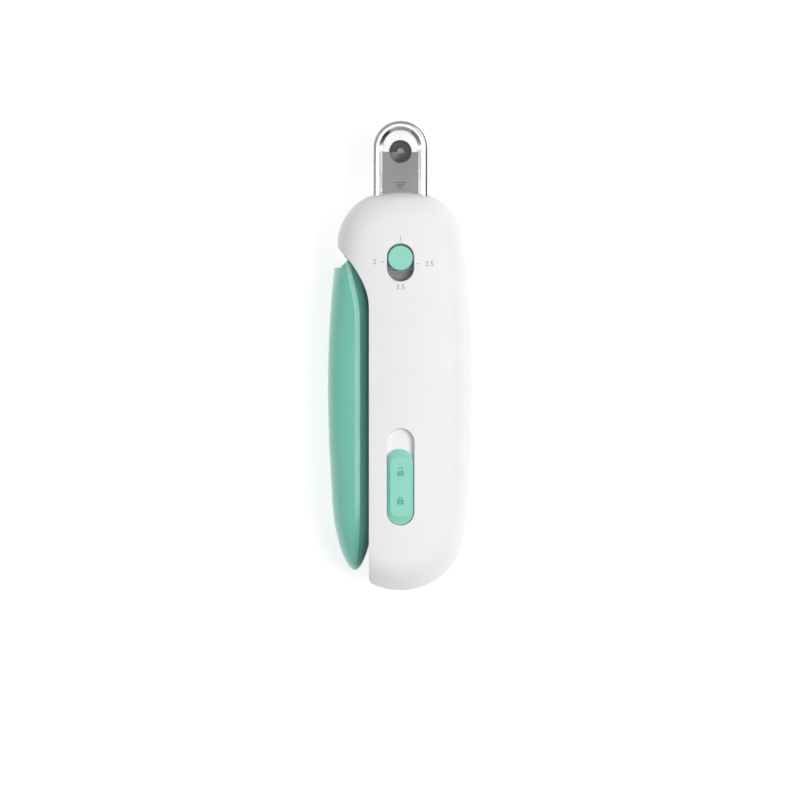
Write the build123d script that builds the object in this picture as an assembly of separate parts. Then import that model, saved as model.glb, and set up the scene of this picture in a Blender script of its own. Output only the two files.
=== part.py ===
"""Hand-squeezed guillotine nail clipper for pets, lying on its back.

Millimetres. +X is to the right seen from the front, +Y runs from the handle to the cutting head,
and +Z comes out of the front face. The origin is below the middle of the part, at its back face.
One STEP file is written for each separate piece.
"""

from build123d import *
import os
from math import cos, radians, sin, sqrt

# ---- driving dimensions -------------------------------------------------------------------------
THICK = 24.0            # front face to back face
PART_LINE = 12.0        # the two housing shells meet here
WALL = 2.0              # side walls of the shells
FRONT_INSIDE = 21.4     # inner side of the front wall
CROWN_R = 60.0          # the front face is gently arched across its width
EDGE_R = 7.5            # rounding round the outside of the shells
SEAM = 0.25             # width and depth of the groove where the shells meet
SLOT_EASE = 0.3         # rounding round the rims of the two front slots
BODY_TOP = 42.7         # where the dome of the housing crosses the centre line
# tangent arcs down the right side, from the dome to the foot: (radius, degrees turned)
SIDE_ARCS = [(24.5, 14.85), (13.5, 67.5), (290.0, 7.65), (346.0, 6.39), (16.1, 43.36)]

BAY_X = -8.13           # straight edge of the shells beside the lever
BAY_NOTCH = (-13.6, 24.9)
PIVOT = (-8.5, 23.5)    # lever pivot
PIVOT_R = 1.5
PIN_TOP = 21.0          # the pivot pin ends in blind holes
PIN_FOOT = 2.6
RUN = 0.05              # radial running clearance
CRANK = 12.5            # the crank pin is this far right of and below the pivot
CRANK_AT = (PIVOT[0] + CRANK, PIVOT[1] - CRANK)
CRANK_PIN_R = 1.0
ROLLER_R = 1.5
BUSH_R = 2.3
LEVER_H = 6.8           # half the lever's thickness
LEVER_TAPER = -40.0     # the lever thins to its tip below this
LEVER_NARROWS = -34.0   # and its two sides close in below this
LEVER_TIP_X = -11.75
LEFT_FULLNESS = 2.4     # superellipse powers of its outer and inner sides
RIGHT_FULLNESS = 1.9
LEFT_LEAN = 0.22        # the outer side falls away from the crest by this share of its height
ARM_Z = (9.4, 13.2)     # drive arm plate
ARM_GAP = 0.1           # room between the arm and the lever's cheeks
ARM_SCREWS = [(-11.4, 10.0), (-11.8, -6.0)]
ARM_SCREW_R = 0.9
ARM_SCREW_SEAT = 6.7
SPRING_X = (-7.0, 6.0)  # return spring, between the lever and a post in the rear shell
SPRING_AT = (-8.0, 12.0)
SPRING_R = 3.1
SPRING_WIRE = 1.0
KEEPER_Y = (-32.0, -29.0)   # steel hook in the lever for the lock
KEEPER_X = (1.5, 2.5)   # its upright, right of where the squeezed lever reaches

GUARD_TOP = 61.0
GUARD_R = 7.25          # outside of the U-shaped guard
GUARD_IN = 5.85         # its cavity
GUARD_LIP = 4.6         # its front opening
GUARD_FOOT = 34.0
GUARD_Z = (4.8, 19.0)
EAR_Z = (4.8, 6.6)      # the guard's two screw ears
GUARD_RIM_R = 1.15      # rounding round its front rim
GUARD_BEVEL = 0.9       # slope inside the front rim
HOLE_Y = 52.9           # nail hole
HOLE_R = 2.9
CUT_Z = 16.6            # cutting plane, front of the fixed plate
BLADE_T = 1.1
BLADE_HALF = 5.35
BLADE_EDGE = 52.7
DISH_DEPTH = 0.7        # hollow ground into the blade behind its edge
BLADE_SCREWS = [(-2.6, 32.5), (2.6, 32.5)]
BLADE_SCREW_R = 0.9
CARRIER_Z = (13.5, CUT_Z + RUN)
CARRIER_HALF = 5.75

KNOB_Y = 25.0           # selector at its top, shortest position
KNOB_R = 3.23
SELECTOR_TRAVEL = 2.5
SELECTOR_SLOT = (19.0, 28.7)
SLOT_HALF = 3.45
PLATE_Z = (19.7, 21.2)
RIB_PITCH = 0.62

LOCK_SLOT = (-43.9, -19.0)
LOCK_HALF = 3.5
LOCK_TRAVEL = 5.2
LOCK_FLOOR = (20.6, 22.1)
LOCK_TOP = 24.0
LOCK_SCREW_AT = (0.0, -36.5)
LOCK_SCREW_R = 0.5
RETAINER_Z = (19.3, 20.45)

STOP_R = 1.1            # depth-stop pin
STOP_Z = 9.6            # its cross pin at rest
CROSS_R = 0.6
FORK_Z = (6.0, 8.4)     # bar from the selector to the depth stop
HOUSING_SCREWS = [(-12.0, 31.5), (12.5, 30.0), (13.0, -6.0), (11.0, -48.0)]
HOUSING_SCREW_R = 1.1
HOUSING_HEAD_R = 2.0
HOUSING_SEAT = 5.0      # depth of the shoulders under the screw heads
HEAD_SCREWS = [(-8.5, 35.0), (8.5, 35.0)]
HEAD_SCREW_R = 0.7
THROUGH = (-1.0, 30.0)  # depth range that passes through the whole part


# ---- helpers ------------------------------------------------------------------------------------
def block(x, y, z):
    """A box from its low and high limits on each axis."""
    size = (x[1] - x[0], y[1] - y[0], z[1] - z[0])
    middle = ((x[0] + x[1]) / 2, (y[0] + y[1]) / 2, (z[0] + z[1]) / 2)
    return Pos(*middle) * Box(*size)


def rod(place, radius, z):
    """A cylinder along Z at (x, y)."""
    middle = (place[0], place[1], (z[0] + z[1]) / 2)
    return Pos(*middle) * Cylinder(radius, z[1] - z[0])


def cross_rod(radius, x, y, z):
    """A cylinder along X between two values of x."""
    return Pos((x[0] + x[1]) / 2, y, z) * Rot(0, 90, 0) * Cylinder(radius, x[1] - x[0])


def slot(y, half, z, x=0.0):
    """An obround prism along Y with rounded ends."""
    ends = [rod((x, y[0] + half), half, z), rod((x, y[1] - half), half, z)]
    return block((x - half, x + half), (y[0] + half, y[1] - half), z) + ends


def link(start, end, radius, z, end_radius=None):
    """A flat bar with round ends between two points."""
    tail = radius if end_radius is None else end_radius
    rounds = Pos(*start) * Circle(radius) + Pos(*end) * Circle(tail)
    return Pos(0, 0, z[0]) * extrude(make_hull(rounds.edges()), z[1] - z[0])


def arch(half, top, foot, z):
    """A prism with straight sides and a half-round top."""
    centre = top - half
    return block((-half, half), (foot, centre), z) + rod((0, centre), half, z)


def side_curves(inset):
    """The right side of the housing's outline, moved inwards by inset."""
    x, y, heading = 0.0, BODY_TOP - inset, 0.0
    curves = []
    arcs = [(radius - inset, turn) for radius, turn in SIDE_ARCS]
    turned = sum(turn for _, turn in arcs)
    arcs.append((None, 180.0 - turned))
    for radius, turn in arcs:
        if radius is None:
            radius = x / sin(radians(heading))      # the foot's arc is centred on the middle line
        centre = (x - radius * sin(radians(heading)), y - radius * cos(radians(heading)))
        places = []
        for step in (0.0, 0.5, 1.0):
            angle = radians(heading + step * turn)
            places.append((centre[0] + radius * sin(angle), centre[1] + radius * cos(angle)))
        places[0] = (x, y)
        if heading + turn > 179.99:
            places[2] = (0.0, places[2][1])
        curves.append(ThreePointArc(*places))
        x, y = places[2]
        heading += turn
    return curves


def outline_x(y):
    """Half width of the housing outline at one height."""
    x, place, heading = 0.0, BODY_TOP, 0.0
    for radius, turn in SIDE_ARCS:
        start, end = radians(heading), radians(heading + turn)
        centre = (x - radius * sin(start), place - radius * cos(start))
        x, place = centre[0] + radius * sin(end), centre[1] + radius * cos(end)
        heading += turn
        if y >= place:
            break
    return centre[0] + sqrt(radius**2 - (y - centre[1])**2)


def outline(inset=0.0):
    """The whole housing outline with the lever in it, symmetric about the middle line."""
    right = side_curves(inset)
    left = [mirror(curve, about=Plane.YZ) for curve in right]
    return make_face(Curve() + right + left)


def bay_face(shift=0.0):
    """The open bay on the left that the lever lies in, with its right edge moved by shift."""
    tip = (-16.6, 30.4)
    brow = (-15.6, 27.2)
    foot = (BAY_X, 12.0)
    heel = (BAY_X, -57.6)
    edge = Line((-30, 30.4), tip) + ThreePointArc(tip, (-16.3, 28.5), brow)
    edge += Line(brow, BAY_NOTCH)
    edge += Spline(BAY_NOTCH, (-10.25, 19.8), foot, tangents=[(0.62, -0.78), (0, -1)])
    edge += Line(foot, heel) + ThreePointArc(heel, (-7.85, -58.7), (-7.0, -59.7))
    edge += Polyline((-7.0, -59.7), (-7.0, -70), (-30, -70), (-30, 30.4))
    return Pos(shift, 0) * make_face(edge)


def bay(z, shift=0.0):
    return Pos(0, 0, z[0]) * extrude(bay_face(shift), z[1] - z[0])


# ---- housing ------------------------------------------------------------------------------------
def half_body():
    """The front half of the closed outline: arched face, rounded rim."""
    blank = Pos(0, 0, PART_LINE) * extrude(outline(), THICK - PART_LINE)
    crown = Pos(0, 0, THICK - CROWN_R) * Rot(90, 0, 0) * Cylinder(CROWN_R, 300)
    blank = blank & crown
    rim = [e for e in blank.edges() if e.center().Z > PART_LINE + 6]
    rim = [e for e in rim if abs((e @ 0).Z - (e @ 1).Z) < 3.5]
    return fillet(rim, EDGE_R)


def back_body():
    """The back half: flat back, rounded rim."""
    blank = extrude(outline(), PART_LINE)
    rim = blank.edges().group_by(Axis.Z)[0]
    return fillet(rim, EDGE_R)


def cavity(low, high, round_at_top):
    """The hollow inside a shell, with its outer corner rounded."""
    hollow = Pos(0, 0, low) * extrude(outline(WALL), high - low)
    rim = hollow.edges().group_by(Axis.Z)[-1 if round_at_top else 0]
    return fillet(rim, EDGE_R - WALL)


def head_opening():
    """Cut for the guard through the top wall of both shells."""
    half = GUARD_R + 0.2
    return block((-half, half), (GUARD_FOOT, 50), (GUARD_Z[0] - 0.05, GUARD_Z[1] + 0.15))


def front_fittings(body):
    """Ribs, rails and bosses on the inner side of the front wall."""
    root = FRONT_INSIDE + 0.2               # they run a little into the wall
    floor_y = (LOCK_SLOT[0] - 2, LOCK_SLOT[1] + 2)
    parts = bay((20.0, FRONT_INSIDE + 0.5), 1.8) & body
    parts += block((-5.5, 5.5), floor_y, (LOCK_FLOOR[0], root))
    parts += rod(PIVOT, PIVOT_R + 1.4, (19.2, root))
    for rail_x in ((-6.7, -5.7), (6.9, 7.9)):
        parts += block(rail_x, (15.0, 27.4), (19.6, root))
    for place in HOUSING_SCREWS:
        parts += rod(place, HOUSING_SCREW_R + 1.5, (PART_LINE, root)) & body
    return parts


def eased_slot(shell, y, half, depth):
    """Cuts a rounded slot from the front and rounds its rim."""
    shell -= slot(y, half, (depth, THROUGH[1]))
    rim = [e for e in shell.edges() if abs(e.center().X) < half + 0.1 and abs(e.center().Z - THICK) < 0.5
           and y[0] - 0.1 < e.center().Y < y[1] + 0.1]
    return fillet(rim, SLOT_EASE)


def front_shell():
    body = half_body()
    shell = body - cavity(PART_LINE - 1, FRONT_INSIDE, True) + front_fittings(body)
    shell -= bay(THROUGH)
    shell -= rod(PIVOT, PIVOT_R, (18.0, PIN_TOP))
    for place in HOUSING_SCREWS:
        shell -= rod(place, HOUSING_SCREW_R, (0.0, 19.5))
    shell -= head_opening()
    shell = eased_slot(shell, SELECTOR_SLOT, SLOT_HALF, 15.0)
    shell = eased_slot(shell, LOCK_SLOT, LOCK_HALF, LOCK_FLOOR[1])
    return shell - slot((-39.2, -26.2), 1.0, (15.0, THROUGH[1]))


def rear_fittings(body):
    """Ribs, bosses and the spring post on the inner side of the back wall."""
    root = WALL - 0.2                       # they run a little into the wall
    post_x = (SPRING_X[1] + 0.2, SPRING_X[1] + 2.2)
    parts = bay((WALL - 0.5, 4.0), 1.8) & body
    parts += rod(PIVOT, PIVOT_R + 1.7, (root, 4.4))
    for place in HOUSING_SCREWS:
        parts += rod(place, HOUSING_HEAD_R + 1.0, (root, PART_LINE)) & body
    for place in HEAD_SCREWS:
        parts += rod(place, HEAD_SCREW_R + 1.2, (root, GUARD_Z[0]))
    parts += block(post_x, (SPRING_AT[0] - 4, SPRING_AT[0] + 4), (root, 17.0))
    return parts + cross_rod(1.6, (SPRING_X[1] - 1.9, SPRING_X[1] + 0.3), *SPRING_AT)


def rear_shell():
    body = back_body()
    shell = body - cavity(WALL, PART_LINE + 1, False) + rear_fittings(body)
    shell -= bay(THROUGH)
    shell -= rod(PIVOT, PIVOT_R, (PIN_FOOT, 9.0))
    for place in HOUSING_SCREWS:
        shell -= rod(place, HOUSING_HEAD_R + 0.2, (-1.0, HOUSING_SEAT))
        shell -= rod(place, HOUSING_SCREW_R + 0.1, THROUGH)
    for place in HEAD_SCREWS:
        shell -= rod(place, HEAD_SCREW_R, (WALL, 9.0))
    shell -= head_opening()
    groove = Pos(0, 0, PART_LINE - SEAM) * extrude(outline(-1.0) - outline(SEAM), 2 * SEAM)
    return shell - groove


def screw(place, head_r, shank_r, head_z, tip_z):
    """A cross-head screw along Z; its tip may be above or below its head."""
    z_out, z_in = head_z
    outward = 1 if z_out > z_in else -1
    body = rod(place, head_r, sorted(head_z)) + rod(place, shank_r, sorted((z_in, tip_z)))
    deep = sorted((z_out - outward * 0.8, z_out + outward))
    for size in ((head_r * 1.2, head_r * 0.28), (head_r * 0.28, head_r * 1.2)):
        x = (place[0] - size[0] / 2, place[0] + size[0] / 2)
        y = (place[1] - size[1] / 2, place[1] + size[1] / 2)
        body -= block(x, y, deep)
    return body


def housing_screws():
    heads = (HOUSING_SEAT - 1.8, HOUSING_SEAT)
    return [screw(place, HOUSING_HEAD_R, HOUSING_SCREW_R, heads, 18.5) for place in HOUSING_SCREWS]


# ---- cutting head -------------------------------------------------------------------------------
def head_guard():
    """U-shaped guard: a cup open at its foot, with an inward lip round the front."""
    centre = GUARD_TOP - GUARD_R
    lip_z = (GUARD_Z[1] - 2.0, GUARD_Z[1])
    cup = arch(GUARD_R, GUARD_TOP, GUARD_FOOT, GUARD_Z)
    for layer, radius in ((-1, GUARD_RIM_R), (0, 0.8)):
        rim = [e for e in cup.edges().group_by(Axis.Z)[layer] if e.center().Y > GUARD_FOOT]
        cup = fillet(rim, radius)
    cup -= arch(GUARD_IN, centre + GUARD_IN, GUARD_FOOT - 1, (GUARD_Z[0] + 1.0, GUARD_Z[1] - 1.1))
    cup -= arch(GUARD_LIP, centre + GUARD_LIP, GUARD_FOOT - 1, lip_z)
    inner = [e for e in cup.edges().group_by(Axis.Z)[-1]
             if abs(e.center().X) < GUARD_LIP + 0.1 and GUARD_FOOT < e.center().Y < centre + GUARD_LIP + 0.1]
    cup = chamfer(inner, GUARD_BEVEL)
    for side in (-1, 1):
        ear = sorted((side * (GUARD_R - 0.5), side * 9.6))
        cup += block(ear, (GUARD_FOOT, GUARD_FOOT + 2.0), EAR_Z)
    for place in HEAD_SCREWS:
        cup -= rod(place, HEAD_SCREW_R + 0.1, (0.0, 9.0))
    return cup


def anvil_plate():
    """The fixed plate with the nail hole."""
    plate = arch(GUARD_IN, GUARD_TOP - GUARD_R + GUARD_IN, 45.0, (CUT_Z - 1.0, CUT_Z))
    return plate - rod((0, HOLE_Y), HOLE_R, THROUGH)


def stop_guide():
    """Plate behind the nail hole that guides the depth stop."""
    plate = arch(GUARD_IN, GUARD_TOP - GUARD_R + GUARD_IN, 45.5, (11.4, 13.0))
    return plate - rod((0, HOLE_Y), STOP_R + RUN, THROUGH)


def head_screws():
    return [screw(place, 1.1, HEAD_SCREW_R, (EAR_Z[1] + 1.0, EAR_Z[1]), 2.6) for place in HEAD_SCREWS]


def blade():
    """The sliding blade: straight edge with a dished hollow below it."""
    z = (CARRIER_Z[1], CARRIER_Z[1] + BLADE_T)
    plate = block((-BLADE_HALF, BLADE_HALF), (30.0, BLADE_EDGE), z)
    top_corners = plate.edges().filter_by(Axis.Z).group_by(Axis.Y)[-1]
    plate = chamfer(top_corners, 0.5)
    bowl_r = (HOLE_R**2 + DISH_DEPTH**2) / (2 * DISH_DEPTH)
    plate -= Pos(0, BLADE_EDGE, z[1] - DISH_DEPTH + bowl_r) * Sphere(bowl_r)
    for place in BLADE_SCREWS:
        plate -= rod(place, BLADE_SCREW_R, THROUGH)
    return plate


def blade_carrier():
    """Sliding plate under the blade, with the slanted cam slot that the crank roller runs in."""
    plate = block((-CARRIER_HALF, CARRIER_HALF), (17.0, 41.0), CARRIER_Z)
    plate += block((-1.5, 9.5), (5.0, 17.0), CARRIER_Z)
    plate = fillet(plate.edges().filter_by(Axis.Z), 0.8)
    before, after = (CRANK_AT[0] - 2.4, CRANK_AT[1] + 2.4), (CRANK_AT[0] + 1.7, CRANK_AT[1] - 1.7)
    plate -= link(before, after, ROLLER_R + RUN, THROUGH)
    for place in BLADE_SCREWS:
        plate -= rod(place, BLADE_SCREW_R, THROUGH)
    return plate


def blade_screws():
    top = CARRIER_Z[1] + BLADE_T
    return [screw(place, 1.5, BLADE_SCREW_R, (top + 1.0, top), 13.6) for place in BLADE_SCREWS]


# ---- lever --------------------------------------------------------------------------------------
def lever_section(y, left, crest, right, half):
    """One egg-shaped section: half a superellipse each side of the crest, the left one leaning."""
    plane = Plane(origin=(crest, y, PART_LINE), x_dir=(1, 0, 0), z_dir=(0, -1, 0))
    halves = ((left - crest, LEFT_FULLNESS, LEFT_LEAN), (right - crest, RIGHT_FULLNESS, 0.0))
    sides = []
    for reach, power, lean in halves:
        points = []
        for n in range(-6, 7):
            angle = radians(15 * n)
            across = 0.0 if abs(n) == 6 else abs(cos(angle)) ** (2 / power)
            up = half * abs(sin(angle)) ** (2 / power) * (1 - lean * across)
            points.append((reach * across, up if n > 0 else -up))
        outward = 1 if reach > 0 else -1
        rise = lean * half / abs(reach)
        sides.append(Spline(points, tangents=[(outward, rise), (-outward, rise)]))
    return plane * make_face(sides[0] + sides[1])


def taper(y, start, end, power):
    """1 above start, falling to 0 at end."""
    along = max(0.0, (start - y) / (start - end))
    return (1 - along**2) ** power


def lever_profile(y):
    """Left edge, crest, right edge and half thickness of the lever at one height."""
    shoulder = max(0.0, y - 9.0) / 18.0
    left = -outline_x(max(y, LEVER_NARROWS)) - 0.1
    left = LEVER_TIP_X + (left - LEVER_TIP_X) * taper(y, LEVER_NARROWS, -56, 0.6)
    crest = LEVER_TIP_X - 3.6 * shoulder**1.5
    right = LEVER_TIP_X + 5.35 * taper(y, LEVER_NARROWS, -56, 0.62) - 2.2 * shoulder**2
    return left, crest, right, LEVER_H * taper(y, LEVER_TAPER, -56.2, 0.5)


def lever_blank():
    """The bare grip: lofted sections, cut to the shape of its shoulder."""
    heights = [27 - 5.25 * n for n in range(13)] + [-40, -43.5, -46.5, -49.2, -51.6, -53.5, -54.9, -55.7]
    grip = loft([lever_section(y, *lever_profile(y)) for y in heights])
    above = Polyline((-30, 22.6), (-15.6, 22.7), (-13.6, 24.6), (-12.2, 23.6), (-11.0, 24.6),
                     (-5, 24.6), (-5, 40), (-30, 40), (-30, 22.6))
    return grip - extrude(make_face(above), 40)


def keeper_root():
    """The flat part of the keeper, also its pocket in the lever."""
    return block((-10.4, KEEPER_X[1]), KEEPER_Y, (14.6, 16.0))


def squeeze_lever():
    """Palm lever with two ears for the pivot and pockets for the drive arm, spring and keeper."""
    arm_room = (ARM_Z[0] - ARM_GAP, ARM_Z[1] + ARM_GAP)
    root = (-10.6, 20.6)
    lever = lever_blank()
    lever += link(PIVOT, root, 2.5, (arm_room[1], 17.4))
    lever += link(PIVOT, root, 3.0, (6.6, arm_room[0]), 2.5)
    lever -= block((-14.6, 0), (-13.0, 40), arm_room)
    lever -= rod(PIVOT, PIVOT_R + RUN, THROUGH)
    for place in ARM_SCREWS:
        lever -= rod(place, ARM_SCREW_R, (ARM_SCREW_SEAT - 0.1, 14.5))
        lever -= rod(place, 1.9, (0, ARM_SCREW_SEAT))
    lever -= cross_rod(SPRING_R + 0.2, (SPRING_X[0] - 0.2, SPRING_X[0] + 2.2), *SPRING_AT)
    return lever - keeper_root()


def drive_arm():
    """Steel bell crank: a tongue inside the lever and a short arm to the crank pin."""
    knee = ARM_SCREWS[0]
    arm = link(PIVOT, CRANK_AT, 4.0, ARM_Z, 3.0)
    arm += link(PIVOT, knee, 4.0, ARM_Z, 2.6)
    arm += link(knee, (-11.8, -9.0), 2.6, ARM_Z, 2.2)
    arm -= rod(PIVOT, BUSH_R, THROUGH)
    arm -= rod(CRANK_AT, CRANK_PIN_R, THROUGH)
    for place in ARM_SCREWS:
        arm -= rod(place, ARM_SCREW_R, THROUGH)
    return arm


def pivot_bush():
    return rod(PIVOT, BUSH_R, ARM_Z) - rod(PIVOT, PIVOT_R + RUN, THROUGH)


def crank_pin():
    """Pin with a head that holds the roller on."""
    return rod(CRANK_AT, CRANK_PIN_R, (ARM_Z[0], 17.3)) + rod(CRANK_AT, 1.6, (17.0, 17.6))


def crank_roller():
    roller = rod(CRANK_AT, ROLLER_R, (ARM_Z[1] + 0.1, 16.9))
    return roller - rod(CRANK_AT, CRANK_PIN_R + 0.02, THROUGH)


def arm_screws():
    head = (ARM_SCREW_SEAT - 1.1, ARM_SCREW_SEAT)
    return [screw(place, 1.7, ARM_SCREW_R, head, 14.4) for place in ARM_SCREWS]


def keeper():
    """Steel hook in the lever that the lock's catch holds."""
    return keeper_root() + block(KEEPER_X, KEEPER_Y, (16.0, 18.2))


def pivot_pin():
    return rod(PIVOT, PIVOT_R, (PIN_FOOT, PIN_TOP))


def lever_return_spring():
    """The room that the coil spring takes."""
    outside = cross_rod(SPRING_R, SPRING_X, *SPRING_AT)
    return outside - cross_rod(SPRING_R - SPRING_WIRE, SPRING_X, *SPRING_AT)


# ---- nail-length selector -----------------------------------------------------------------------
def selector_knob():
    knob = rod((0, KNOB_Y), KNOB_R, (PLATE_Z[1], THICK))
    return fillet(knob.edges().group_by(Axis.Z)[-1], 0.35)


def selector_plate():
    """Slide under the front wall, ribbed where it shows below the knob."""
    plate = block((-5.5, 5.5), (15.2, 33.8), PLATE_Z)
    plate += block((-8.6, -5.5), (30.2, 33.6), (PLATE_Z[0], 20.7))
    for n in range(6):
        y = 18.6 + RIB_PITCH * n
        plate -= block((-4, 4), (y, y + RIB_PITCH / 2), (PLATE_Z[1] - 0.4, PLATE_Z[1] + 1))
    for n in range(4):
        plate -= rod((5.6, 20.0 + n * SELECTOR_TRAVEL / 3), 0.35, PLATE_Z)
    return plate


def depth_bar():
    """Bent strip from the selector to the head, forked with slanted slots for the stop's cross pin."""
    reach = HOLE_Y + 4.0
    drop = SELECTOR_TRAVEL
    pin_r = CROSS_R + RUN
    bar = block((-2.6, 2.6), (30.5, reach), FORK_Z)
    bar += block((-2.6, 2.6), (HOLE_Y - 2.5, reach), (FORK_Z[0] - 0.1, FORK_Z[1] + 2.5))
    bar += block((-8.4, -2.6), (30.5, 33.4), FORK_Z)
    bar += block((-8.4, -6.3), (30.5, 33.4), (FORK_Z[1], PLATE_Z[0]))
    bar -= block((-1.2, 1.2), (HOLE_Y - 1.6, reach + 1), THROUGH)
    bar -= cross_rod(pin_r, (-6, 6), HOLE_Y, STOP_Z)
    bar -= cross_rod(pin_r, (-6, 6), HOLE_Y + drop, STOP_Z - drop)
    middle = Pos(0, HOLE_Y + drop / 2, STOP_Z - drop / 2) * Rot(-45, 0, 0)
    return bar - middle * Box(12, drop * sqrt(2), 2 * pin_r)


def depth_stop_pin():
    pin = rod((0, HOLE_Y), STOP_R, (STOP_Z - 1.1, CUT_Z - 1.0))
    pin = fillet(pin.edges().group_by(Axis.Z)[-1], 0.25)
    return pin - cross_rod(CROSS_R, (-6, 6), HOLE_Y, STOP_Z)


def stop_cross_pin():
    return cross_rod(CROSS_R, (-2.6, 2.6), HOLE_Y, STOP_Z)


def selector_detent_spring():
    """Thin leaf beside the slide with a nose for the four settings."""
    leaf = block((6.35, 6.75), (16.0, 27.5), (19.9, 21.0))
    return leaf + block((5.9, 6.35), (19.7, 20.3), (19.9, 21.0))


# ---- lock ---------------------------------------------------------------------------------------
def lock_slider():
    """Thumb slide: raised flat with sloping ends, and a stem through the housing."""
    low = LOCK_SLOT[0] + 0.1
    high = LOCK_SLOT[1] - LOCK_TRAVEL - 0.1
    half = LOCK_HALF - 0.1
    step = LOCK_FLOOR[1] + 1.1
    body = slot((low, high), half, (LOCK_FLOOR[1] + 0.05, step))
    foot = Pos(0, (low + high) / 2, step) * SlotOverall(high - low, 2 * half, rotation=90)
    face_length = high - low - 4.4
    face = Pos(0, (low + high) / 2, LOCK_TOP) * RectangleRounded(5.3, face_length, 2.0)
    body += loft([foot, face])
    body += block((-0.9, 0.9), (-38.4, -32.0), (RETAINER_Z[1], LOCK_FLOOR[1] + 0.2))
    return body - rod(LOCK_SCREW_AT, LOCK_SCREW_R, (20.0, 21.6))


def lock_retainer():
    plate = block((-2.8, 2.8), (-39.5, -30.5), RETAINER_Z)
    return plate - rod(LOCK_SCREW_AT, LOCK_SCREW_R + 0.3, THROUGH)


def lock_screw():
    return screw(LOCK_SCREW_AT, LOCK_SCREW_R + 0.3, LOCK_SCREW_R, RETAINER_Z, 21.6)


def lock_catch():
    """Spring catch under the lock slide that stands in the lever's hook."""
    tooth = (KEEPER_X[0] - 1.2, KEEPER_X[0] - 0.1)
    strap = block((-2.4, tooth[1]), (-34.0, -29.6), (RETAINER_Z[0] - 0.4, RETAINER_Z[0]))
    return strap + block(tooth, (-31.4, -29.6), (16.3, RETAINER_Z[0]))


def lock_detent_spring():
    """Thin leaf beside the retainer with a nose for the two lock positions."""
    leaf = block((3.3, 3.6), (-44.0, -26.0), (19.4, 20.5))
    return leaf + block((2.9, 3.3), (-34.0, -33.4), (19.4, 20.3))


PIECES = {
    "front_shell": front_shell,
    "rear_shell": rear_shell,
    "housing_screws": housing_screws,
    "head_guard": head_guard,
    "anvil_plate": anvil_plate,
    "stop_guide": stop_guide,
    "head_screws": head_screws,
    "blade": blade,
    "blade_carrier": blade_carrier,
    "blade_screws": blade_screws,
    "squeeze_lever": squeeze_lever,
    "drive_arm": drive_arm,
    "pivot_bush": pivot_bush,
    "crank_pin": crank_pin,
    "crank_roller": crank_roller,
    "arm_screws": arm_screws,
    "keeper": keeper,
    "pivot_pin": pivot_pin,
    "lever_return_spring": lever_return_spring,
    "selector_knob": selector_knob,
    "selector_plate": selector_plate,
    "selector_detent_spring": selector_detent_spring,
    "depth_bar": depth_bar,
    "depth_stop_pin": depth_stop_pin,
    "stop_cross_pin": stop_cross_pin,
    "lock_slider": lock_slider,
    "lock_retainer": lock_retainer,
    "lock_screw": lock_screw,
    "lock_catch": lock_catch,
    "lock_detent_spring": lock_detent_spring,
}

os.makedirs("parts", exist_ok=True)
for name, make in PIECES.items():
    piece = make()
    if isinstance(piece, list):
        piece = Compound(children=piece)
    export_step(piece, f"parts/{name}.step")
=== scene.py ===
"""Looks for the pet nail clipper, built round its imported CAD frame.

Metres, with the frame's axes: +X right and +Y up in the picture, +Z out of the front face towards
the camera. Marks, springs and materials are added; the CAD meshes keep their shape and place.
"""

import math

import bpy
from mathutils import Matrix, Vector
from mathutils.bvhtree import BVHTree


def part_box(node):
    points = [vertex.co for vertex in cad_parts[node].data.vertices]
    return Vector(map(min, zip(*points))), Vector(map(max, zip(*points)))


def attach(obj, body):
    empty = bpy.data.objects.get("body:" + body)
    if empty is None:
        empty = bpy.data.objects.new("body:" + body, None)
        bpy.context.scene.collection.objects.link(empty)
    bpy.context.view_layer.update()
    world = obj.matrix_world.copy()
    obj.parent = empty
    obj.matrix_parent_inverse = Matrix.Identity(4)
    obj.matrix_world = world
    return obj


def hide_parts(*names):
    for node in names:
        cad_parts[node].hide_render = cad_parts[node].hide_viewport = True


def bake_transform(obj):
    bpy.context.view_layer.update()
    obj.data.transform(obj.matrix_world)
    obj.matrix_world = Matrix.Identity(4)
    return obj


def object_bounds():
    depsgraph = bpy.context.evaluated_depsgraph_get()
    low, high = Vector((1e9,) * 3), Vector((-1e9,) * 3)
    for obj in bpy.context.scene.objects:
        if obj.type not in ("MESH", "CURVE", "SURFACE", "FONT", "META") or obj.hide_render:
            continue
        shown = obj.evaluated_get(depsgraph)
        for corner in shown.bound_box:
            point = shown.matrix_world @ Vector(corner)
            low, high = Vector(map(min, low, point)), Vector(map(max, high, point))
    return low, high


MM = 0.001
FIELD = 207.0 * MM                  # what the square picture covers at the object
FIELD_HEIGHT = 0.8                  # share of the part's height at which it covers that
CAMERA_DISTANCE = 1.2
CAMERA_AIM = (-0.1 * MM, -11.6 * MM)
SENSOR = 36.0                       # millimetres, as the lens
FLOOR_HALF = 3.0

SCALE_MARK_THICK = 0.03 * MM             # flat scale numbers and ticks; their grey is painted shade of engraved marks
SYMBOL_THICK = 0.05 * MM            # raised padlocks
SYMBOL_SUNK = 0.02 * MM             # how far the middle of a padlock lies under the slide's top
ETCH_THICK = 0.01 * MM
NUMERAL_SIZE = 1.9 * MM

COIL_WIRE_R = 0.36 * MM             # lever return spring
COIL_TURNS = 8.5
COIL_STEPS_PER_TURN = 40
COIL_CLOSING = 0.045                # how strongly the end turns close up

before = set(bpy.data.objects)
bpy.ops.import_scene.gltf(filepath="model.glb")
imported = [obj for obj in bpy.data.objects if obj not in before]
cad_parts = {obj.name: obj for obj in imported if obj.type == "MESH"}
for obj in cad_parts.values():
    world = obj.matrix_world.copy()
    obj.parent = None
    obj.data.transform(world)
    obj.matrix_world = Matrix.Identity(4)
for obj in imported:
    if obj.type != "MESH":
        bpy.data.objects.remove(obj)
CAD_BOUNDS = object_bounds()


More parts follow.
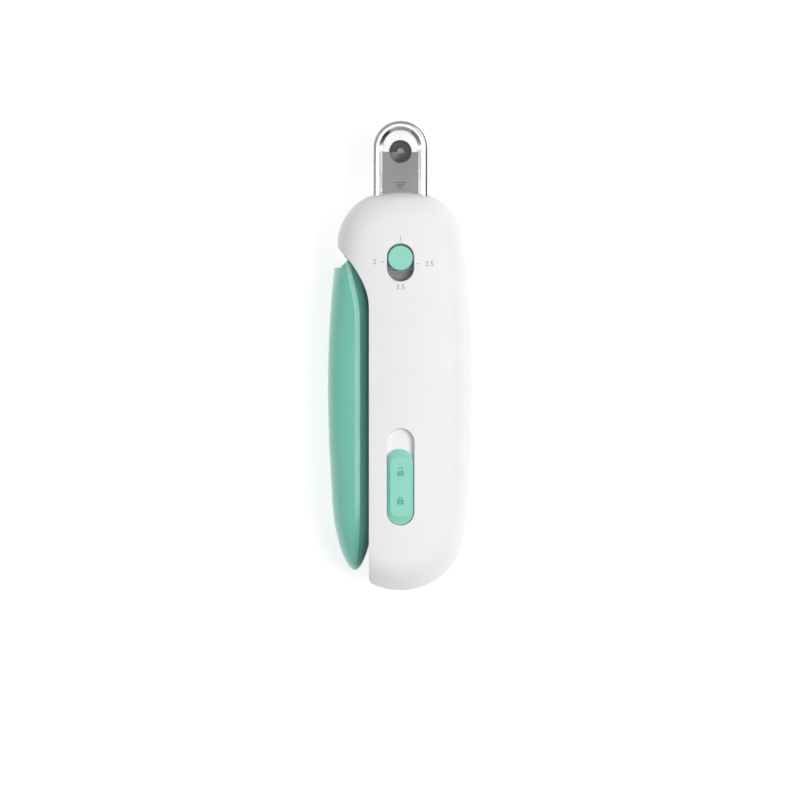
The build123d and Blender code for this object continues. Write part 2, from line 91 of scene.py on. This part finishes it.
# ---- camera, floor, light -----------------------------------------------------------------------
def make_camera():
    """Straight down on the front face, from far off, with a long lens."""
    top = CAD_BOUNDS[1].z
    data = bpy.data.cameras.new("camera")
    data.sensor_width = SENSOR
    data.lens = SENSOR * CAMERA_DISTANCE / FIELD
    data.clip_end = 20.0
    camera = bpy.data.objects.new("camera", data)
    camera.location = (*CAMERA_AIM, top * FIELD_HEIGHT + CAMERA_DISTANCE)
    bpy.context.collection.objects.link(camera)
    bpy.context.scene.camera = camera


def area_light(name, place, size, power, in_reflections=True):
    """A soft rectangular light aimed at the origin and hidden from the camera."""
    data = bpy.data.lights.new(name, "AREA")
    data.shape = "RECTANGLE"
    data.size, data.size_y = size
    data.energy = power
    light = bpy.data.objects.new(name, data)
    light.location = place
    light.rotation_euler = (-Vector(place)).to_track_quat("-Z", "Y").to_euler()
    light.visible_camera = False
    light.visible_glossy = in_reflections
    bpy.context.collection.objects.link(light)


def make_floor():
    mesh = bpy.data.meshes.new("floor")
    corners = [(x * FLOOR_HALF, y * FLOOR_HALF, 0) for x, y in ((-1, -1), (1, -1), (1, 1), (-1, 1))]
    mesh.from_pydata(corners, [], [(0, 1, 2, 3)])
    floor = bpy.data.objects.new("floor", mesh)
    bpy.context.collection.objects.link(floor)
    floor.data.materials.append(floor_material())


def make_world():
    """Lightest overhead and grey below it, for the metal to reflect.

    It is dimmer on the right, where the lights are, and brighter towards the head.
    """
    world = bpy.data.worlds.new("studio")
    bpy.context.scene.world = world
    world.use_nodes = True
    tree = Nodes(world.node_tree)
    direction = tree.add("ShaderNodeTexCoord").outputs["Generated"]
    split = tree.add("ShaderNodeSeparateXYZ", Vector=direction)
    bands = [(0.1, 0.35), (0.4, 0.45), (0.6, 0.32), (0.9, 0.32), (0.97, 0.66)]
    ramp = tree.ramp(split.outputs["Z"], [(height, (level,) * 3) for height, level in bands])
    back = world.node_tree.nodes["Background"]
    tree.put(back.inputs["Color"], ramp)
    across = split.outputs["X"]
    gentle = tree.math("MULTIPLY", across, 0.3)
    steep = tree.math("MULTIPLY", across, 0.85)
    fall = tree.math("MAXIMUM", gentle, steep)
    rise = tree.math("MULTIPLY_ADD", split.outputs["Y"], 0.3, 0.78)
    tree.put(back.inputs["Strength"], tree.math("SUBTRACT", rise, fall))


# ---- material helpers ---------------------------------------------------------------------------
class Nodes:
    """Short way to add and join shader nodes."""

    def __init__(self, tree):
        self.tree = tree

    def add(self, kind, **inputs):
        node = self.tree.nodes.new(kind)
        for name, value in inputs.items():
            self.put(node.inputs[name.replace("_", " ")], value)
        return node

    def put(self, socket, value):
        if isinstance(value, bpy.types.NodeSocket):
            self.tree.links.new(value, socket)
        else:
            socket.default_value = value

    def ramp(self, factor, stops):
        node = self.add("ShaderNodeValToRGB", Fac=factor)
        elements = node.color_ramp.elements
        while len(elements) < len(stops):
            elements.new(0.5)
        for element, (position, colour) in zip(elements, stops):
            element.position = position
            element.color = (*colour, 1.0)
        return node.outputs["Color"]

    def math(self, operation, *values):
        node = self.tree.nodes.new("ShaderNodeMath")
        node.operation = operation
        for socket, value in zip(node.inputs, values):
            self.put(socket, value)
        return node.outputs[0]

    def mix(self, factor, a, b):
        node = self.tree.nodes.new("ShaderNodeMix")
        node.data_type = "RGBA"
        self.put(node.inputs[0], factor)
        self.put(node.inputs[6], a)
        self.put(node.inputs[7], b)
        return node.outputs[2]

    def noise(self, scale, detail, stretch=(1, 1, 1), roughness=0.5):
        """Noise in the part's own space; scale is in cycles per metre."""
        place = self.add("ShaderNodeTexCoord").outputs["Object"]
        mapping = self.add("ShaderNodeMapping", Vector=place, Scale=stretch)
        return self.add("ShaderNodeTexNoise", Vector=mapping.outputs["Vector"], Scale=scale,
                        Detail=detail, Roughness=roughness).outputs["Fac"]

    def bump(self, height, distance, strength, normal=None):
        node = self.add("ShaderNodeBump", Height=height, Strength=strength, Distance=distance)
        if normal is not None:
            self.put(node.inputs["Normal"], normal)
        return node.outputs["Normal"]

    def soft_edge(self, radius):
        """Rounds sharp edges in the shading by a fraction of a millimetre."""
        node = self.add("ShaderNodeBevel", Radius=radius)
        node.samples = 4
        return node.outputs["Normal"]


def linear(code):
    """Linear RGBA from an sRGB hex code."""
    values = [int(code[n:n + 2], 16) / 255 for n in (0, 2, 4)]
    curve = [v / 12.92 if v <= 0.04045 else ((v + 0.055) / 1.055) ** 2.4 for v in values]
    return (*curve, 1.0)


def new_material(name):
    material = bpy.data.materials.new(name)
    material.use_nodes = True
    return material, Nodes(material.node_tree), material.node_tree.nodes["Principled BSDF"]


def plastic(name, code, roughness, grain, sheen=0.0):
    """Moulded plastic: fine spark-eroded grain, faint flow variation in colour and gloss."""
    material, n, shader = new_material(name)
    base = linear(code)
    deep = tuple(c * 0.94 for c in base[:3]) + (1.0,)
    broad = n.noise(60.0, 2.0)
    n.put(shader.inputs["Base Color"], n.mix(broad, deep, base))
    fine = n.noise(9000.0, 2.0)
    n.put(shader.inputs["Roughness"], n.math("MULTIPLY_ADD", n.noise(220.0, 4.0), 0.10, roughness - 0.05))
    edge = n.soft_edge(0.25 * MM)
    n.put(shader.inputs["Normal"], n.bump(fine, grain * MM, 0.35, edge))
    shader.inputs["Subsurface Weight"].default_value = 0.08
    shader.inputs["Subsurface Radius"].default_value = (0.6 * MM, 0.6 * MM, 0.6 * MM)
    shader.inputs["Coat Weight"].default_value = sheen
    shader.inputs["Coat Roughness"].default_value = 0.25
    return material


def metal(name, code, roughness, brushing, depth):
    """Metal with fine directional brushing and a few broad patches in its gloss."""
    material, n, shader = new_material(name)
    shader.inputs["Metallic"].default_value = 1.0
    base = linear(code)
    shade = tuple(c * 0.88 for c in base[:3]) + (1.0,)
    lines = n.noise(2200.0, 5.0, brushing, 0.6)
    n.put(shader.inputs["Base Color"], n.mix(lines, shade, base))
    n.put(shader.inputs["Roughness"], n.math("MULTIPLY_ADD", n.noise(160.0, 3.0), 0.12, roughness - 0.06))
    rounded = n.soft_edge(0.12 * MM)
    n.put(shader.inputs["Normal"], n.bump(lines, depth * MM, 0.5, rounded))
    return material


def floor_material():
    material, n, shader = new_material("floor_paper")
    shader.inputs["Base Color"].default_value = (0.55, 0.55, 0.55, 1)
    shader.inputs["Roughness"].default_value = 0.85
    shader.inputs["Emission Color"].default_value = (1, 1, 1, 1)
    shader.inputs["Emission Strength"].default_value = 0.68
    shader.inputs["Specular IOR Level"].default_value = 0.1
    n.put(shader.inputs["Normal"], n.bump(n.noise(900.0, 3.0), 0.05 * MM, 0.15))
    return material


def dress(node, material):
    """Gives a whole CAD node one material."""
    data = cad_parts[node].data
    data.materials.clear()
    data.materials.append(material)
    for face in data.polygons:
        face.material_index = 0


# ---- mesh helpers -------------------------------------------------------------------------------
def new_piece(name, mesh, material, body, smooth=False):
    """A new object that rides on a body, or on none if it is to be blended."""
    piece = bpy.data.objects.new(name, mesh)
    bpy.context.collection.objects.link(piece)
    mesh.materials.clear()
    mesh.materials.append(material)
    if smooth:
        mesh.shade_smooth()
    if body:
        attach(piece, body)
    return piece


def curve_mesh(curve):
    """The mesh of a curve or text, with nothing of the curve kept."""
    helper = bpy.data.objects.new("helper", curve)
    bpy.context.collection.objects.link(helper)
    shape = helper.evaluated_get(bpy.context.evaluated_depsgraph_get())
    mesh = bpy.data.meshes.new_from_object(shape)
    bpy.data.objects.remove(helper)
    return mesh


def lay_on(mesh, node, lift):
    """Drops a flat mesh onto a node's front surface; its own height is kept above it."""
    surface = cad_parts[node].data
    places = [vertex.co for vertex in surface.vertices]
    tree = BVHTree.FromPolygons(places, [face.vertices for face in surface.polygons])
    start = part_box(node)[1][2] + 5 * MM
    for vertex in mesh.vertices:
        hit = tree.ray_cast(Vector((vertex.co.x, vertex.co.y, start)), Vector((0, 0, -1)))[0]
        vertex.co.z += hit.z + lift


def flat_mesh(name, loops, thickness):
    """A thin plate from outlines in X and Y; a second outline cuts a hole."""
    curve = bpy.data.curves.new(name, "CURVE")
    curve.dimensions = "2D"
    curve.fill_mode = "BOTH"
    curve.extrude = thickness / 2
    for loop in loops:
        spline = curve.splines.new("POLY")
        spline.points.add(len(loop) - 1)
        for point, (x, y) in zip(spline.points, loop):
            point.co = (x, y, 0, 1)
        spline.use_cyclic_u = True
    return curve_mesh(curve)


def arc(centre, radius, start, end, steps=16):
    """Points on a circle between two angles in degrees."""
    angles = [math.radians(start + (end - start) * n / steps) for n in range(steps + 1)]
    return [(centre[0] + radius * math.cos(a), centre[1] + radius * math.sin(a)) for a in angles]


def rounded_box(centre, width, height, radius):
    """The outline of a rectangle with rounded corners."""
    corners = []
    for n, (sx, sy) in enumerate(((1, 1), (-1, 1), (-1, -1), (1, -1))):
        middle = (centre[0] + sx * (width / 2 - radius), centre[1] + sy * (height / 2 - radius))
        corners += arc(middle, radius, 90 * n, 90 * n + 90, 5)
    return corners


# ---- flat scale marks in painted engraving shade, and raised marks ------------------------------
def numeral(name, words, place):
    """One number of the nail-length scale, laid flat on the front shell; its grey is painted shade
    standing in for an engraved number.
    """
    curve = bpy.data.curves.new(name, "FONT")
    curve.body = words
    curve.size = NUMERAL_SIZE
    curve.extrude = SCALE_MARK_THICK / 2
    curve.align_x = "CENTER"
    curve.align_y = "CENTER"
    mesh = curve_mesh(curve)
    mesh.transform(Matrix.Translation((place[0] * MM, place[1] * MM, 0)))
    engraving_shade_on_shell(name, mesh)


def tick(name, place):
    """A short dash beside the slot."""
    width, height = 1.0 * MM, 0.16 * MM
    outline = rounded_box((place[0] * MM, place[1] * MM), width, height, height / 2.2)
    engraving_shade_on_shell(name, flat_mesh(name, [outline], SCALE_MARK_THICK))


def engraving_shade_on_shell(name, mesh):
    # the grey mark material paints the shade of engraved marks; nothing is cut into the shell
    lay_on(mesh, "front_shell", SCALE_MARK_THICK / 2)
    new_piece(name, mesh, MATERIALS["engraving_shade"], "housing")


def scale_marks():
    knob_low, knob_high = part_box("selector_knob")
    middle = (knob_low[1] + knob_high[1]) / 2 / MM
    numeral("scale_1", "1", (0, middle + 4.9))
    numeral("scale_3_5", "3.5", (0, middle - 7.5))
    numeral("scale_2", "2", (-6.6, middle - 1.0))
    numeral("scale_2_5", "2.5", (7.5, middle - 1.5))
    tick("tick_2", (-4.6, middle - 1.0))
    tick("tick_2_5", (4.6, middle - 1.5))


def padlock(name, centre, is_open):
    """A plain padlock symbol, raised a little on the lock slide."""
    x, y = centre[0] * MM, centre[1] * MM
    body = rounded_box((x, y), 1.7 * MM, 1.25 * MM, 0.2 * MM)
    keyhole = arc((x, y), 0.2 * MM, 0, 350, 14)
    outer, inner = 0.58 * MM, 0.34 * MM     # radii of the shackle
    bend = y + (1.17 if is_open else 0.77) * MM
    foot = y + 0.55 * MM
    left_foot = foot + (0.45 * MM if is_open else 0)
    shackle = [(x + outer, foot)] + arc((x, bend), outer, 0, 180) + [(x - outer, left_foot)]
    shackle += [(x - inner, left_foot)] + arc((x, bend), inner, 180, 0) + [(x + inner, foot)]
    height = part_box("lock_slider")[1][2] - SYMBOL_SUNK
    for part, loops in (("body", [body, keyhole]), ("shackle", [shackle])):
        mesh = flat_mesh(name + "_" + part, loops, SYMBOL_THICK)
        mesh.transform(Matrix.Translation((0, 0, height)))
        new_piece(name + "_" + part, mesh, MATERIALS["symbol"], "lock")


def lock_marks():
    padlock("open_symbol", (0, -30.6), True)
    padlock("closed_symbol", (0, -37.9), False)


def blade_mark():
    """Four short etched lines, each shorter than the one above."""
    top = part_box("blade")[1][2]
    first, pitch = 44.75, 0.55
    for n, width in enumerate((2.9, 2.2, 1.6, 0.9)):
        middle = (0, (first - pitch * n) * MM)
        outline = rounded_box(middle, width * MM, 0.17 * MM, 0.07 * MM)
        mesh = flat_mesh(f"blade_line_{n}", [outline], ETCH_THICK)
        mesh.transform(Matrix.Translation((0, 0, top)))
        new_piece(f"blade_line_{n}", mesh, MATERIALS["etch"], "blade_unit")


# ---- springs ------------------------------------------------------------------------------------
def lever_spring():
    """Compression spring between the lever and its seat, with its end turns closed up."""
    low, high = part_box("lever_return_spring")
    wire = COIL_WIRE_R
    radius = (high[1] - low[1]) / 2 - wire
    length = high[0] - low[0] - 2 * wire
    middle = ((low[1] + high[1]) / 2, (low[2] + high[2]) / 2)
    total = int(COIL_TURNS * COIL_STEPS_PER_TURN)
    curve = bpy.data.curves.new("lever_spring", "CURVE")
    curve.dimensions = "3D"
    curve.bevel_depth = wire
    curve.bevel_resolution = 4
    curve.use_fill_caps = True
    spline = curve.splines.new("POLY")
    spline.points.add(total)
    for n, point in enumerate(spline.points):
        share = n / total
        along = share - COIL_CLOSING * math.sin(2 * math.pi * share)
        angle = 2 * math.pi * COIL_TURNS * share
        x = low[0] + wire + length * along
        point.co = (x, middle[0] + radius * math.cos(angle), middle[1] + radius * math.sin(angle), 1)
    mesh = curve_mesh(curve)
    piece = new_piece("lever_coil_spring", mesh, MATERIALS["spring"], None, smooth=True)
    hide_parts("lever_return_spring")
    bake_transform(piece)


# ---- materials and what wears them --------------------------------------------------------------
MATERIALS = {
    "white": plastic("white_abs", "ecebec", 0.36, 0.015),
    "lever": plastic("mint_lever_abs", "7bcdbb", 0.3, 0.015, sheen=0.8),
    "button": plastic("mint_button_abs", "8ed6c3", 0.38, 0.02),
    "grey": plastic("grey_acetal", "969698", 0.45, 0.02),
    "dark": metal("dark_steel", "4c4c4e", 0.34, (1, 1, 8), 0.003),
    "guard": metal("polished_guard", "f0f0f0", 0.2, (1, 1, 14), 0.001),
    "plate": metal("brushed_plate", "cacaca", 0.22, (1, 26, 1), 0.003),
    "blade": metal("ground_blade", "7e7e7e", 0.32, (40, 1, 1), 0.003),
    "steel": metal("plain_steel", "a9abad", 0.30, (1, 1, 8), 0.003),
    "bright": metal("turned_steel", "868686", 0.16, (1, 1, 20), 0.002),
    "spring": metal("spring_steel", "b0b2b6", 0.22, (1, 1, 10), 0.001),
    "screw": metal("zinc_screw", "9fa3a8", 0.3, (1, 1, 10), 0.002),
    "brass": metal("turned_brass", "c9a35c", 0.28, (1, 1, 20), 0.002),
    # grey that paints the shade of engraved scale marks, laid flat instead of cut in
    "engraving_shade": plastic("engraving_shade_grey", "a8a8ac", 0.5, 0.005),
    "symbol": plastic("mint_symbol", "5fb5a0", 0.45, 0.005),
    "etch": metal("etched_mark", "5c5c5c", 0.6, (1, 1, 1), 0.002),
}
DRESSING = {
    "white": ["front_shell", "rear_shell"],
    "lever": ["squeeze_lever"],
    "button": ["selector_knob", "lock_slider"],
    "grey": ["selector_plate", "lock_retainer"],
    "dark": ["stop_guide"],
    "guard": ["head_guard"],
    "plate": ["anvil_plate"],
    "blade": ["blade"],
    "steel": ["blade_carrier", "drive_arm", "crank_pin", "crank_roller", "pivot_pin", "keeper",
              "depth_bar", "stop_cross_pin"],
    "bright": ["depth_stop_pin"],
    "spring": ["selector_detent_spring", "lock_catch", "lock_detent_spring"],
    "screw": ["housing_screws", "head_screws", "blade_screws", "arm_screws", "lock_screw"],
    "brass": ["pivot_bush"],
}

# ---- the scene ----------------------------------------------------------------------------------
make_camera()
for key, nodes in DRESSING.items():
    for node in nodes:
        dress(node, MATERIALS[key])
scale_marks()
lock_marks()
blade_mark()
lever_spring()
make_floor()
make_world()
area_light("key", (0.76, -0.1, 1.22), (0.7, 0.7), 13.0, in_reflections=False)
area_light("softbox", (0.75, 0.5, 1.1), (0.9, 0.9), 2.8)
area_light("strip", (0.14, 0.0, 1.5), (0.1, 1.4), 4.0)
bpy.context.scene.view_settings.view_transform = "Standard"
